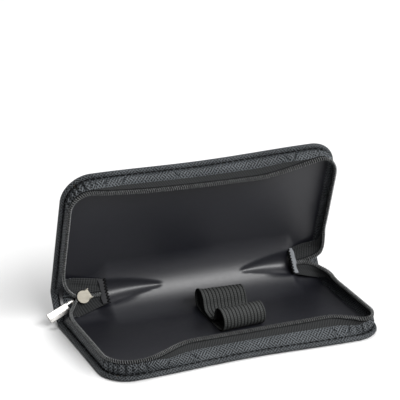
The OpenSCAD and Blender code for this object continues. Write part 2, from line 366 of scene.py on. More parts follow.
def add(tree, kind, inputs=None, **settings):
    node = tree.nodes.new(kind)
    for key, value in settings.items():
        setattr(node, key, value)
    for key, value in (inputs or {}).items():
        if isinstance(value, bpy.types.NodeSocket):
            tree.links.new(value, node.inputs[key])
        else:
            node.inputs[key].default_value = value
    return node


def calc(tree, operation, a, b=0.0):
    return add(tree, "ShaderNodeMath", {0: a, 1: b}, operation=operation).outputs[0]


def coordinates(tree, kind, turn=0.0, scale=(1, 1, 1)):
    source = add(tree, "ShaderNodeTexCoord").outputs[kind]
    placed = {"Vector": source, "Rotation": (0, 0, turn), "Scale": scale}
    return add(tree, "ShaderNodeMapping", placed).outputs[0]


def mixed(tree, a, share_a, b, share_b):
    """The sum of two values, each times its share."""
    return calc(tree, "ADD", calc(tree, "MULTIPLY", a, share_a), calc(tree, "MULTIPLY", b, share_b))


def scaled(tree, value, factor, offset):
    return calc(tree, "ADD", calc(tree, "MULTIPLY", value, factor), offset)


def noise(tree, vector, scale, detail, rough=0.5):
    inputs = {"Vector": vector, "Scale": scale, "Detail": detail, "Roughness": rough}
    return add(tree, "ShaderNodeTexNoise", inputs).outputs[0]


def bands(tree, vector, period, distortion):
    """Waves across x with a period in the vector's units."""
    return add(tree, "ShaderNodeTexWave", {
        "Vector": vector, "Scale": math.pi / (10 * period), "Distortion": distortion,
        "Detail": 1.0, "Detail Scale": 1.5,
    }, wave_type="BANDS", bands_direction="X").outputs[1]


def paint(tree, shader, tone, low, dark, high, light):
    """Base colour from dark to light as the tone goes from low to high."""
    node = add(tree, "ShaderNodeValToRGB", {0: tone})
    for element, place, colour in zip(node.color_ramp.elements, (low, high), (dark, light)):
        element.position = place
        element.color = (*colour, 1)
    tree.links.new(node.outputs[0], shader.inputs["Base Color"])


def roughen(tree, shader, value, low, high):
    """Roughness from low to high as the value goes from 0 to 1."""
    node = add(tree, "ShaderNodeMapRange", {0: value, 3: low, 4: high})
    tree.links.new(node.outputs[0], shader.inputs["Roughness"])


def bump(tree, shader, height, strength, distance):
    node = add(tree, "ShaderNodeBump", {"Height": height, "Strength": strength, "Distance": distance})
    tree.links.new(node.outputs[0], shader.inputs["Normal"])


def saffiano(name, dark, light, rough):
    """Crosshatch-embossed artificial leather: short crossing ridges, first one way and then the other. The
    colour is lighter on the ridges as a painted highlight and near black between them as painted shade.
    """
    pitch, waver, slant = 1.38 * MM, 1.2, 0.78
    material, tree, shader = nodes_of(name)
    patch = noise(tree, coordinates(tree, "UV"), 42, 1.0)
    patch = add(tree, "ShaderNodeMapRange", {0: patch, 1: 0.36, 2: 0.64}).outputs[0]
    ridges = []
    for turn, share in ((slant, patch), (-slant, calc(tree, "SUBTRACT", 1.0, patch))):
        wave = calc(tree, "POWER", bands(tree, coordinates(tree, "UV", turn), pitch, waver), 2.0)
        ridges.append(calc(tree, "MULTIPLY", wave, scaled(tree, share, 0.75, 0.25)))
    cross = calc(tree, "MAXIMUM", ridges[0], ridges[1])
    fine = noise(tree, coordinates(tree, "UV"), 220, 3.0)
    broad = noise(tree, coordinates(tree, "Object"), 45, 2.0)
    height = calc(tree, "ADD", cross, calc(tree, "MULTIPLY", fine, 0.2))
    # base colour from the ridges' height: painted highlight on the ridges, painted shade in the grooves,
    # plus a broad random tone
    paint(tree, shader, mixed(tree, height, 0.75, broad, 0.25), 0.24, dark, 0.88, light)
    roughen(tree, shader, mixed(tree, fine, 0.5, broad, 0.5), rough + 0.1, rough - 0.1)
    shader.inputs["Specular IOR Level"].default_value = 0.16
    bump(tree, shader, height, 1.0, 0.0005)
    return material


def satin(name, dark, light, rough, gloss):
    """Smooth lining cloth: a very fine weave with slow unevenness."""
    pitch, waver, turns = 0.42 * MM, 0.5, (0.35, 1.75)
    material, tree, shader = nodes_of(name)
    warp, weft = (bands(tree, coordinates(tree, "UV", turn), pitch, waver) for turn in turns)
    weave = mixed(tree, warp, 0.6, weft, 0.4)
    slub = noise(tree, coordinates(tree, "UV", 0.0, (0.25, 1, 1)), 60, 3.0)
    slow = noise(tree, coordinates(tree, "Object"), 22, 2.0)
    paint(tree, shader, mixed(tree, slub, 0.5, slow, 0.5), 0.3, dark, 0.7, light)
    roughen(tree, shader, noise(tree, coordinates(tree, "UV"), 35, 2.0), rough - 0.04, rough + 0.05)
    shader.inputs["Specular IOR Level"].default_value = gloss
    bump(tree, shader, mixed(tree, weave, 0.3, slub, 0.5), 0.22, 0.00015)
    return material


def woven(name, dark, light, pitch):
    """Zip tape: a herringbone-like twill."""
    rough, slant = 0.75, 0.6
    material, tree, shader = nodes_of(name)
    twill = bands(tree, coordinates(tree, "UV", slant), pitch * MM, 0.8)
    threads = bands(tree, coordinates(tree, "UV", 1.5708), 0.45 * MM, 0.3)
    fuzz = noise(tree, coordinates(tree, "UV"), 300, 3.0)
    height = mixed(tree, twill, 0.55, threads, 0.45)
    paint(tree, shader, mixed(tree, height, 0.6, fuzz, 0.4), 0.2, dark, 0.85, light)
    roughen(tree, shader, fuzz, rough - 0.08, rough + 0.1)
    shader.inputs["Specular IOR Level"].default_value = 0.1
    bump(tree, shader, height, 0.6, 0.00015)
    return material


def ribbed(name, dark, light, rib):
    """Elastic: each rib is two strands of slanted knit."""
    stitch, slant = 1.05 * MM, 7.0
    material, tree, shader = nodes_of(name)
    parts = add(tree, "ShaderNodeSeparateXYZ", {0: coordinates(tree, "UV")})
    along, round_it = parts.outputs[0], parts.outputs[1]
    place = calc(tree, "FRACT", calc(tree, "DIVIDE", along, rib * MM))
    half = calc(tree, "ABSOLUTE", calc(tree, "SUBTRACT", place, 0.5))
    knit = calc(tree, "SINE", mixed(tree, round_it, 2 * math.pi / stitch, half, slant))
    knit = calc(tree, "MULTIPLY", calc(tree, "ADD", knit, 1.0), 0.5)
    ridge = calc(tree, "POWER", calc(tree, "SINE", calc(tree, "MULTIPLY", place, math.pi)), 0.5)
    split = calc(tree, "MINIMUM", calc(tree, "MULTIPLY", half, slant), 1.0)
    fuzz = noise(tree, coordinates(tree, "UV"), 350, 3.0)
    body = calc(tree, "MULTIPLY", ridge, scaled(tree, knit, 0.55, 0.45))
    height = calc(tree, "MULTIPLY", body, scaled(tree, split, 0.35, 0.65))
    paint(tree, shader, mixed(tree, height, 0.75, fuzz, 0.25), 0.12, dark, 0.8, light)
    roughen(tree, shader, fuzz, 0.7, 0.9)
    shader.inputs["Specular IOR Level"].default_value = 0.12
    bump(tree, shader, height, 1.0, 0.0004)
    return material


def yarn(name, dark, light, rough, gloss):
    """Thread and nylon: fine slanted filaments."""
    pitch, slant = 0.3 * MM, 0.9
    material, tree, shader = nodes_of(name)
    strand = bands(tree, coordinates(tree, "UV", slant), pitch, 0.4)
    fuzz = noise(tree, coordinates(tree, "Object"), 900, 2.0)
    paint(tree, shader, mixed(tree, strand, 0.5, fuzz, 0.5), 0.2, dark, 0.8, light)
    roughen(tree, shader, fuzz, rough - 0.1, rough + 0.1)
    shader.inputs["Specular IOR Level"].default_value = gloss
    bump(tree, shader, strand, 0.3, 0.00006)
    return material


def plated(name, dark, light, rough):
    """Nickel plate with faint polishing marks and smudges."""
    material, tree, shader = nodes_of(name)
    marks = noise(tree, coordinates(tree, "Object", 0.3, (0.02, 1, 1)), 2500, 3.0)
    smudge = noise(tree, coordinates(tree, "Object"), 260, 3.0)
    paint(tree, shader, smudge, 0.3, dark, 0.7, light)
    roughen(tree, shader, mixed(tree, marks, 0.5, smudge, 0.5), rough - 0.07, rough + 0.09)
    shader.inputs["Metallic"].default_value = 1.0
    bump(tree, shader, calc(tree, "ADD", calc(tree, "MULTIPLY", marks, 0.4), smudge), 0.12, 0.00008)
    return material


def pressed_board(name, dark, light):
    """Stiffening board of pressed fibre."""
    material, tree, shader = nodes_of(name)
    fibre = noise(tree, coordinates(tree, "Object", 0.4, (1, 3, 3)), 300, 5.0, 0.7)
    paint(tree, shader, fibre, 0.3, dark, 0.7, light)
    roughen(tree, shader, fibre, 0.8, 0.95)
    bump(tree, shader, fibre, 0.4, 0.0002)
    return material


# both saffiano colours run from painted shade in the grooves to a painted highlight on the ridges
M_SKIN = saffiano("saffiano", (0.0006, 0.0007, 0.0009), (0.105, 0.115, 0.124), 0.42)
M_STRIP = saffiano("saffiano_strip", (0.0006, 0.0007, 0.0009), (0.125, 0.137, 0.148), 0.38)
M_LINING = satin("lining", (0.0054, 0.0057, 0.0084), (0.0084, 0.0088, 0.0126), 0.42, 0.6)
M_TAPE = woven("zip_tape", (0.0010, 0.0011, 0.0012), (0.036, 0.0375, 0.0385), 1.3)
M_COIL = yarn("zip_coil", (0.045, 0.047, 0.048), (0.165, 0.169, 0.169), 0.28, 0.5)
# black thread, also used for the cords inside each coil, which serve partly as painted shade between its
# turns
M_THREAD = yarn("thread", (0.0008, 0.0008, 0.0009), (0.005, 0.0052, 0.0056), 0.6, 0.08)
M_ELASTIC = ribbed("elastic", (0.0015, 0.0016, 0.0016), (0.064, 0.067, 0.066), RIB)
M_RIBBON = satin("ribbon_dark", (0.006, 0.0063, 0.0075), (0.014, 0.0147, 0.017), 0.62, 0.2)
M_RIBBON_LIGHT = satin("ribbon_light", (0.09, 0.097, 0.106), (0.16, 0.17, 0.183), 0.5, 0.3)
M_SLIDER = plated("slider_metal", (0.10, 0.093, 0.079), (0.155, 0.145, 0.124), 0.46)
M_PULL = plated("pull_metal", (0.30, 0.292, 0.28), (0.42, 0.41, 0.395), 0.36)
M_BOARD = pressed_board("board", (0.24, 0.2, 0.15), (0.4, 0.35, 0.28))

# ---------- Covers: outer skin, its turned-in edge, and the spine ----------

PLACE = {"bottom": base, "top": lid}
SKIN_REAR = 34.0  # where the rigid cover's skin gives way to the fold
FACE_INSET = 4.4  # where the flat face takes over from the turned-in edge
FOLD_BLEND = ((36.5, 0), (42.5, 3.0))  # y and z of two places handed to blend_over_fold, which works them out but does not use them
STRIP_BLEND = ((33.5, 3.0), (41.5, 8.5))
TAPE_BLEND = ((29, 6), (40, 9))
LINING_BLEND = ((24, 2), (43, 12))


def blend_over_fold(piece, half, ends):
    """Bake the piece's placement into its mesh. The two places on the fold, from half and ends, are worked
    out but not used.
    """
    start, end = (tuple(float(q) for q in PLACE[half]((0, y, z)) * METRES) for y, z in ends)
    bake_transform(piece)


def valley_at(d):
    """How deep the gathers are at a distance from a corner's middle, from 0 to 1."""
    phase = d * 2 * math.pi / 4.1 + 1.0 * np.sin(d / 3.1 + 1) + 0.5 * np.sin(d / 1.7)
    return 1 - np.abs(np.cos(phase / 2)) ** 0.55


def pleats(s, centres, spread):
    """How strongly the skin is gathered at s: full round the corners, little between."""
    return sum(smooth(1 - np.abs(s - c) / spread) for c in centres)


def from_corners(s, corners):
    """The distance from the nearer corner's middle."""
    return np.where(s < s[-1] / 2, s - corners[0], s - corners[1])


def edge_profile(t):
    """Inset and height of the edge of a cover of thickness t, from inside to outside."""
    r = min(HALF_T, t / 2)
    top = [(4.5, t - 0.75), (4.25, t - 0.35), (4.0, t - 0.08), (3.6, t),
           (2.95, t + 0.05), (2.5, t - 0.08), (2.1, t - 0.08), (1.65, t + 0.05)]
    round_it = np.radians([62, 36, 12, -12, -36, -62])
    turn = [(r - r * math.cos(a), t / 2 + (t / 2) * math.sin(a)) for a in round_it]
    low = [(1.55, 0.02), (1.85, 0.0), (2.05, 0.26), (2.3, 0.34),
           (2.55, 0.26), (2.75, 0.0), (3.3, -0.02), (4.6, 0.0)]
    return np.array(top + turn + low)


def cover_rim(half):
    """The cover's edge with its turned-in skin, which is gathered at the corners."""
    sides, corner, front = 26, 70, 90
    pleat_reach, pleat_depth, inside = 17, 1.1, 2.0
    st = rim(BOW[half], SKIN_REAR, sides, corner, front)
    inset, height = edge_profile(COVER_T).T
    s = lengths(np.column_stack([st[:, :2], np.zeros(len(st))]))
    puff = 0.10 * np.sin(s * 0.55) * np.sin(s * 0.13 + 1) + 0.05 * np.sin(s * 1.9)
    middle = sides + corner // 2
    corners = (s[middle], s[-1 - middle])
    depth = pleats(s, corners, pleat_reach) * valley_at(from_corners(s, corners)) * pleat_depth
    on_top = height > inside
    p = np.empty((len(st), len(inset), 3))
    p[..., 0] = st[:, 0, None] + st[:, 2, None] * inset
    p[..., 1] = st[:, 1, None] + st[:, 3, None] * inset
    p[..., 2] = height + puff[:, None] * on_top
    p[..., 2] -= depth[:, None] * smooth((inset - 0.6) / 1.6) * on_top
    return skin(half + "_cover_edge", PLACE[half](p), M_SKIN)


def cover_face(half):
    """The flat outer face inside the edge."""
    a = np.linspace(-math.pi / 2, math.pi / 2, 71)
    x = (CASE_L / 2 - FACE_INSET) * np.sin(a)
    t = np.linspace(0, 1, 25)
    front = front_edge(x, FACE_INSET, BOW[half])
    y = front[:, None] + (SKIN_REAR - front[:, None]) * t[None]
    level = 0.012
    wave = level * np.sin(x[:, None] / 9 + y / 14) * np.sin(math.pi * t)[None]
    p = np.stack([np.broadcast_to(x[:, None], y.shape), y, level + wave], -1)
    uv = p[..., :2].reshape(-1, 2)
    return make(half + "_cover_face", PLACE[half](p).reshape(-1, 3), grid_faces(*y.shape), M_SKIN, uv)


def rounded(points, radius, step=0.5):
    """A 2-D path with its corners rounded, and its normals to the left."""
    pts = [np.array(p, float) for p in points]
    out = [pts[0]]
    for a, b, c in zip(pts, pts[1:], pts[2:]):
        u, v = unit(a - b), unit(c - b)
        half = math.acos(float(np.clip(u @ v, -1, 1))) / 2
        reach = radius / math.tan(half)
        centre = b + unit(u + v) * radius / math.sin(half)
        start, end = b + u * reach - centre, b + v * reach - centre
        sweep = math.pi - 2 * half
        sign = math.copysign(1, start[0] * end[1] - start[1] * end[0])
        for k in range(13):
            w = sign * sweep * k / 12
            out.append(centre + np.array([start[0] * math.cos(w) - start[1] * math.sin(w),
                                          start[0] * math.sin(w) + start[1] * math.cos(w)]))
    out.append(pts[-1])
    line = np.array(out)
    s = lengths(line)
    t = np.linspace(0, s[-1], int(s[-1] / step) + 1)
    line = np.stack([np.interp(t, s, line[:, k]) for k in range(2)], 1)
    d = unit(np.gradient(line, axis=0))
    return line, np.stack([-d[:, 1], d[:, 0]], 1), t


def fold_skin():
    """The soft skin from one cover round the spine to the other, in two halves."""
    thinning, sink, bend = 1.15, 0.9, 4.2
    over = HALF_T * math.tan(TURN * 0.7)
    corner_a = S(0, -over, -HALF_T)[1:]
    corner_b = S(0, SPINE_W + over, -HALF_T)[1:]
    start = base((0, SKIN_REAR, 0))[1:]
    end = lid((0, SKIN_REAR, 0))[1:]
    line, n, s = rounded([start, corner_a, corner_b, end], bend)
    middle = np.abs(s - s[-1] / 2)
    soft = smooth((13.5 - middle) / 8)
    line = line - n * (sink * smooth(1 - middle / 10.5))[:, None]
    x_end = CASE_L / 2 - 4.6
    x_mid = np.linspace(-x_end, x_end, 60)[1:-1]
    count = len(line)
    mid = count // 2
    for name, rows, half in (("low", range(mid + 1), "bottom"), ("high", range(mid, count), "top")):
        cols = []
        for k in rows:
            prof = edge_profile(COVER_T - thinning * soft[k])
            ripple = 0.12 * soft[k] * np.sin(x_mid / 7.0) * np.sin(x_mid / 17 + s[k] / 6)
            left = np.column_stack([prof[:, 0] - CASE_L / 2, prof[:, 1]])
            right = np.column_stack([CASE_L / 2 - prof[::-1, 0], prof[::-1, 1]])
            row = np.vstack([left, np.column_stack([x_mid, ripple]), right])
            cols.append(np.column_stack([row[:, 0], line[k] + n[k] * row[:, 1:]]))
        p = np.array(cols)
        piece = skin("spine_skin_" + name, p, M_SKIN)
        if half == "bottom":
            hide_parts("spine_cover")
        blend_over_fold(piece, half, FOLD_BLEND)


def seam_places(half):
    """Middles and directions of the stitches round one half."""
    seam_rear, stitch_pitch = 38.5, 3.6
    line = rim(BOW[half], seam_rear, 60, 40, 200)
    p = np.column_stack([line[:, :2] + line[:, 2:] * SEAM, np.zeros(len(line))])
    n = int(lengths(p)[-1] / stitch_pitch)
    p, = resample(p, 2 * n + 1)
    d = unit(np.gradient(p, axis=0))
    return p[1::2], d[1::2]


def stitches(places, directions, height, sink):
    """Paths of stitches whose ends sink into the skin."""
    length = 2.4
    paths = []
    t = np.linspace(-1, 1, 7)
    for c, d in zip(places, directions):
        arch = np.stack([0 * t, 0 * t, height + sink * t ** 4], 1)
        paths.append(c + d * (t[:, None] * length / 2) + arch)
    return paths


def cover(half):
    rim_piece, face = cover_rim(half), cover_face(half)
    for piece in (rim_piece, face):
        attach(piece, BODY[half])
    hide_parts(half + "_cover")
    c, d = seam_places(half)
    inner = stitches(c, d, COVER_T + 0.12, -0.4)
    outer = stitches(c, d, 0.12, 0.28)
    thread = tube(half + "_thread", [PLACE[half](q) for q in inner + outer], 0.33, 6, M_THREAD)
    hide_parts(half + "_stitching")
    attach(thread, BODY[half])


# ---------- Side strips, zip tapes and coils ----------

def u_lists(half):
    """Foot, sewn edge and coil edge at stations round the three free sides."""
    grid = (18, 5, 6, 26)
    share = {"bottom": 0.55, "top": 0.47}[half]  # of the tape's way in that the strip covers
    tape_z = COIL_Z - 1.0
    foot, sewn, coil = [], [], []
    for f, t in zip(rim(BOW[half], *grid), rim(0, *grid)):
        far = coil_inset(t[0], half)
        start = FOOT + (f[1] - t[1]) * t[3]
        mid = start + share * (far - start)
        drop = (tape_z - SEWN_Z) * smooth((far - SEWN_INSET[half]) / 4)
        foot.append((*(f[:2] + f[2:] * FOOT), COVER_T + 0.05))
        sewn.append((*(t[:2] + t[2:] * mid), tape_z - drop))
        coil.append((*(t[:2] + t[2:] * far), COIL_Z))
    return np.array(foot), np.array(sewn), np.array(coil)


# the three lines' own ways from the sides over the spine, left and right
ENDS = {
    "bottom": {
        "coil_l": [S(-54, 11.8, 5.5), S(-60, 11.8, 5.4), S(-66, 11.8, 5.1), S(-71.5, 11.0, 4.8),
                   (-76.5, 37.8, 11.2), (-79.8, 32.5, 10.5), (-81.5, 25.5, 10.3)],
        "sewn_l": [S(-54, 6.4, 5.4), S(-60, 5.0, 4.9), S(-66, 3.4, 4.3), S(-72, 1.8, 3.8),
                   (-78.2, 36.8, 6.6), (-80.8, 31.5, 7.9), (-81.7, 25, 8.9)],
        "foot_l": [S(-80.6, 2.6, 0.2), (-81.4, 39.5, 2.5), (-81.7, 34, 2.9), (-81.6, 26, 2.85)],
        "coil_r": [(82.6, 24, 10.25), (83.2, 29, 10.4), (82.4, 34.5, 10.9), (79, 40, 12.2),
                   S(74, 11.4, 5.1), S(69, 11.8, 5.3), S(64, 11.8, 5.5)],
        "sewn_r": [(82, 24, 8.9), (82, 29, 8.2), (81.2, 33.5, 7.0), (79, 37.5, 5.6),
                   S(74.5, 3, 4.4), S(69.5, 4.5, 4.9), S(64, 5.9, 5.4)],
        "foot_r": [(81.6, 25, 2.85), (81.7, 31, 2.9), (81.7, 36, 2.9), S(81, 1.5, 0.6)],
    },
    "top": {
        "coil_l": [S(-54, 12.8, 5.5), S(-60, 12.8, 5.4), S(-66, 12.8, 5.1), S(-71.5, 13.4, 5.0),
                   lid((-76.6, 35.4, 10.2)), lid((-80, 30, 10.25)), lid((-81.6, 24, 10.25))],
        "sewn_l": [S(-54, 21.0, 5.8), lid((-60, 33.4, 3.6)), lid((-66, 32, 3.6)), lid((-72.5, 30.5, 4.0)),
                   lid((-78, 29, 6.0)), lid((-81, 26, 7.8)), lid((-81.7, 22.5, 8.9))],
        "foot_l": [S(-80.6, 17.0, 0.2), lid((-81.4, 39.5, 2.5)), lid((-81.7, 33, 2.9)),
                   lid((-81.6, 25, 2.85))],
        "coil_r": [lid((83, 24, 10.25)), lid((83.6, 30, 10.25)), lid((82.5, 35, 10.1)), lid((79.5, 38, 9.3)),
                   S(74, 13.4, 5.4), S(69, 12.9, 5.3), S(64, 12.8, 5.5)],
        "sewn_r": [lid((82, 22.5, 8.9)), lid((81.8, 26, 7.8)), lid((80.5, 29, 6.2)), lid((77.5, 30.5, 4.6)),
                   lid((73, 31.5, 3.8)), lid((68.5, 33, 3.6)), S(64, 21.5, 5.5)],
        "foot_r": [lid((81.6, 24, 2.85)), lid((81.7, 30, 2.9)), lid((81.7, 36, 2.9)), S(81, 18.1, 0.6)],
    },
}
# where a strip's ends reach over the spine, behind the tabs: foot and edge, left and right
HEMS = {
    "bottom": ((S(-80.6, 9.4, 0.2), S(-74.5, 10.2, 3.0)), (S(81, 9.4, 0.6), S(77.5, 9.6, 3.2))),
    "top": ((S(-80.6, 10.2, 0.2), S(-74.5, 13.0, 3.0)), (S(81, 10.2, 0.6), S(77.5, 12.4, 3.2))),
}
PER = 9  # samples between two points of a line
# creases across the front of a strip: x, and how far the crease leans
CREASES = {
    "bottom": ((-61, 2), (-50, -3), (-30, 4), (56, 3), (62, -2)),
    "top": ((-59, 3), (-48, 4), (-20, -5), (49, -3), (58, 3)),
}


def strip_curves(half):
    foot, sewn, coil = (PLACE[half](q) for q in u_lists(half))
    e = ENDS[half]
    sewn = curve(np.vstack([e["sewn_l"], sewn, e["sewn_r"]]), PER)
    coil = curve(np.vstack([e["coil_l"], coil, e["coil_r"]]), PER)
    foot = curve(np.vstack([e["foot_l"], foot, e["foot_r"]]), PER)
    return foot, sewn, coil


def with_hems(line, left, right):
    """A line carried on straight to a point past each of its ends."""
    t = np.linspace(0, 1, PER, endpoint=False)[:, None]
    return np.vstack([left + (line[0] - left) * t, line, line[-1] + (right - line[-1]) * (t + 1 / PER)])


def between(a, b, v):
    """A grid of points from one line to another."""
    return a[:, None] * (1 - v)[None, :, None] + b[:, None] * v[None, :, None]


def outwards(p, half):
    """The normals of a side strip, on its outer side."""
    if half == "bottom":
        out = unit((p - np.array([0, 0, 5.0])) * np.array([1, 1, 0.15]))
    else:
        out = unit(p - lid(np.array([0, 0, 6.0])))
    n = normals(p)
    return n * np.sign(np.sum(n * out, -1).mean())


def side_strip(half, foot, sewn):
    """The skin from the cover's rim to the tape, gathered at the corners and creased in front."""
    first = 3 * PER  # the strip starts where the tape leaves the side
    (foot_left, edge_left), (foot_right, edge_right) = (np.array(hem) for hem in HEMS[half])
    foot = with_hems(foot, foot_left, foot_right)
    edge = with_hems(sewn[first:len(sewn) - first], edge_left, edge_right)
    f, g = resample(foot, 1100, edge)
    v = np.linspace(0, 1, 15)[None]
    p = between(f, g, v[0])
    n = outwards(p, half)

    raw = lengths(foot)
    corner = 13 * PER  # the sample at a corner's middle
    corners = (raw[corner], raw[-1 - corner])
    flat_s = lengths(f)
    s = flat_s[:, None]
    gather = pleats(flat_s, corners, 19)[:, None]
    side = (smooth((flat_s - 4) / 10) * smooth((flat_s[-1] - 4 - flat_s) / 10))[:, None]
    valley = valley_at(from_corners(flat_s, corners) * CORNER_R / (CORNER_R - FOOT))[:, None]
    fine = (0.5 + 0.5 * np.sin(s * 2 * math.pi / 2.3 + 2 * np.sin(s / 5.3))) ** 2
    long_waves = np.sin(s / 6.3 + 1.5 * np.sin(s / 17)) + 0.6 * np.sin(s / 3.1 + 2)
    short_waves = np.sin(s / 1.7 + 5 * v) * (0.5 + 0.5 * np.sin(s / 11))
    belly = np.sin(math.pi * v) ** 0.8
    lean = 0.35 + 0.65 * (v * 0.5 + 0.5 * np.sin(3.0 * v + s / 7))
    width = np.linalg.norm(g - f, axis=1)[:, None]

    move = np.clip(2.3 - 0.22 * width, 0.5, 1.5) * side * belly
    move = move + gather * 3.1 * (0.25 - valley) * belly ** 0.7 * (0.8 + 0.2 * lean)
    move += gather * 0.35 * (fine - 0.4) * belly
    move += (1 - 0.6 * gather) * side * 0.20 * long_waves * belly
    move += side * 0.16 * short_waves * belly
    in_front = np.abs(f[:, 0]) < CORNER_X + 4
    front_x = np.where(in_front, f[:, 0], 999.0)[:, None]
    for x, slant in CREASES[half]:
        along = front_x + slant * v
        move += (0.7 * bump_at(along, x - 1.9, 1.7) - 1.5 * bump_at(along, x, 0.9)) * belly
    p = p + n * move[..., None]
    piece = thick(half + "_side_strip", p, 0.55, M_STRIP)
    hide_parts(half + "_gusset")
    return piece, p


def zip_tape(half, c, w):
    """The tape, which runs on past the folds and lies over the spine as the tabs."""
    tab_l, thickness = 26, 0.45
    v = np.linspace(0, 1, 11)[None]
    t = between(w, c, v[0])
    flat_s = lengths(c)
    s = flat_s[:, None]
    tab = (smooth((tab_l - flat_s) / 8) + smooth((flat_s - flat_s[-1] + tab_l) / 8))[:, None]
    wave = 0.10 * np.sin(s / 5.1) * np.sin(math.pi * v)
    crease = 0.8 * tab * bump_at(v, 0.42 + 0.10 * np.sin(s / 6), 0.16) - 0.3 * tab * bump_at(v, 0.75, 0.12)
    inwards = {"bottom": 0.55, "top": -1.0}[half]
    t = t + normals(t) * (wave + crease * inwards)[..., None]
    piece = thick(half + "_tape", t, thickness, M_TAPE)
    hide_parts(half + "_zip_tape", {"bottom": "left_end_tab", "top": "right_end_tab"}[half])
    return piece


def zip_coil(half, c, w):
    """The coil on the tape's edge, the thread that holds it, and black cords inside the coil: a core cord
    that also serves as painted shade between the turns.
    """
    centre, reach, rise_by, per = 0.35, 1.15, 0.78, 9
    across = unit(c - w)
    up = unit(np.cross(unit(np.gradient(c, axis=0)), across))
    s = lengths(c)
    turns = int(s[-1] / COIL_PITCH)
    k = np.linspace(0, s[-1], turns * per + 1)
    line, side, rise = sampled(k, s, c, across, up)
    angle = np.arange(len(k)) * 2 * math.pi / per
    core = line + side * centre
    path = core + side * (reach * np.cos(angle))[:, None] + rise * (rise_by * np.sin(angle))[:, None]
    coil = wire(half + "_coil", path, core, 0.21, 5, M_COIL)
    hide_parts(half + "_zip_coil", {"bottom": "left_zip_coil", "top": "right_zip_coil"}[half])

    k = np.linspace(0, s[-1], turns * 4 + 1)
    line, side, rise = sampled(k, s, c, across, up)
    angle = np.arange(len(k)) * math.pi / 2
    sway = (1.15 + 0.14 * np.cos(angle))[:, None]
    height = (0.36 + 0.12 * np.sin(angle))[:, None]
    rows = [line - side * sway + rise * height * sign for sign in (-1, 1)]
    # four black cords inside the coil: a core cord, and painted shade in the gaps between the turns
    rows += [(line + side * off)[::4] for off in (-0.35, 0.1, 0.55, 0.95)]
    sewing_and_shade_core = tube(half + "_coil_thread_and_shade_core", rows, 0.24, 4, M_THREAD)
    return coil, sewing_and_shade_core


def strips(half):
    foot, sewn, coil = strip_curves(half)
    gusset, surface = side_strip(half, foot, sewn)
    c, w = resample(coil, 700, sewn)
    tape = zip_tape(half, c, w)
    blend_over_fold(gusset, half, STRIP_BLEND)
    for piece in (tape, *zip_coil(half, c, w)):
        blend_over_fold(piece, half, TAPE_BLEND)


# ---------- Lining ----------

FLOOR = 2.42  # height of the lining over the outer face
MEET_Y = FOLD_Y + (SPINE_W / 2 - (FLOOR - HALF_T) * COS) / SIN


def bridge_radius(x):
    """How wide the lining's bend over the spine is: tighter at the tabs."""
    ends = smooth((-52 - x) / 9) + smooth((x - 62) / 8)
    return 25.0 - 6.5 * np.clip(ends, 0, 1) + 0.5 * np.sin(x / 21)


def pinch(x, r):
    """The pulled hollow that narrows from each ribbon to a point on the spine."""
    out = 0
    for start, tip in ((-55.0, -18.0), (65.0, 30.0)):
        t = (x - start) / (tip - start)
        inside = smooth((t + 0.25) / 0.2) * smooth((1.02 - t) / 0.12)
        along = np.clip(t, 0, 1)
        w = 7.4 * (1 - along) ** 0.8 + 0.9
        u = (r - 12.6 - 0.9 * np.sin(math.pi * along)) / w
        hollow = np.clip(1 - u ** 2, 0, 1) ** 1.5
        second = bump_at(r, 6.2 + 5.0 * along, 1.5) * smooth(along / 0.15) * smooth((0.62 - along) / 0.35)
        out = out - inside * (0.42 * w * hollow + 0.75 * second)
    return out


def lining(half):
    """The lining cloth of one half, up to the middle of the spine."""
    spans = ((-81.0, -50, 44), (-49, -12, 44), (-11, 28, 18), (29, 62, 40), (63, 81, 26))
    x = np.concatenate([np.linspace(*span) for span in spans])[:, None]
    inset, overlap, thickness = 3.9, {"bottom": 0.02, "top": 0}[half], 0.3
    radius = bridge_radius(x)
    front = front_edge(x, inset, BOW[half])
    tangent = MEET_Y - radius / math.tan(TURN)
    floor_t = np.linspace(0, 1, 30)
    arc = np.linspace(0, math.pi / 2 - TURN + overlap, 34)[1:]
    y = np.hstack([front + (tangent - front) * floor_t, tangent + radius * np.sin(arc)])
    angle = np.concatenate([0 * floor_t, arc])
    z = FLOOR + radius * (1 - np.cos(angle))
    n = np.stack([np.zeros_like(angle), -np.sin(angle), np.cos(angle)], -1)
    slack = 0.16 * np.sin(x / 13 + y / 17) * np.sin(y / 23 - x / 31)
    slack = np.maximum(slack, -0.02) * smooth((y - front) / 8) * smooth((tangent + 4 - y) / 12)
    p = np.stack([np.broadcast_to(x, y.shape), y, z], -1)
    r, _ = spine_rn(PLACE[half](p))
    soft = smooth((y - tangent + 6) / 8)
    move = slack + pinch(x, r) * soft
    surface = PLACE[half](p + n[None] * move[..., None])
    piece = thick(half + "_lining_cloth", surface, thickness, M_LINING)
    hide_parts(*((half + "_lining", "spine_lining") if half == "bottom" else (half + "_lining",)))
    blend_over_fold(piece, half, LINING_BLEND)


# ---------- Tab ribbons and their stitches ----------

RIBBON_N, ZIGZAG_N = 6.35, 6.6  # heights over the spine


def lift(r):
    """How much higher the lid's end of a ribbon lies."""
    return 0.35 * smooth((r - 15) / 6)


def ribbon(name, x, wide, low, high, material, node):
    """A satin ribbon across the spine at x, over the cut end of a tab."""
    r = np.linspace(low, high, 40)[:, None]
    u = np.linspace(-0.5, 0.5, 7)[None]
    xs = x + wide * u + 0.35 * np.sin(r / 1.9) + 0.2 * np.sin(r / 0.9)
    n = RIBBON_N + 0.10 * np.cos(math.pi * u) + 0.10 * np.sin(r / 1.3) + lift(r)
    piece = thick(name, S(xs, np.broadcast_to(r, xs.shape), n), 0.35, material)
    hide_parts(node)
    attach(piece, "spine")


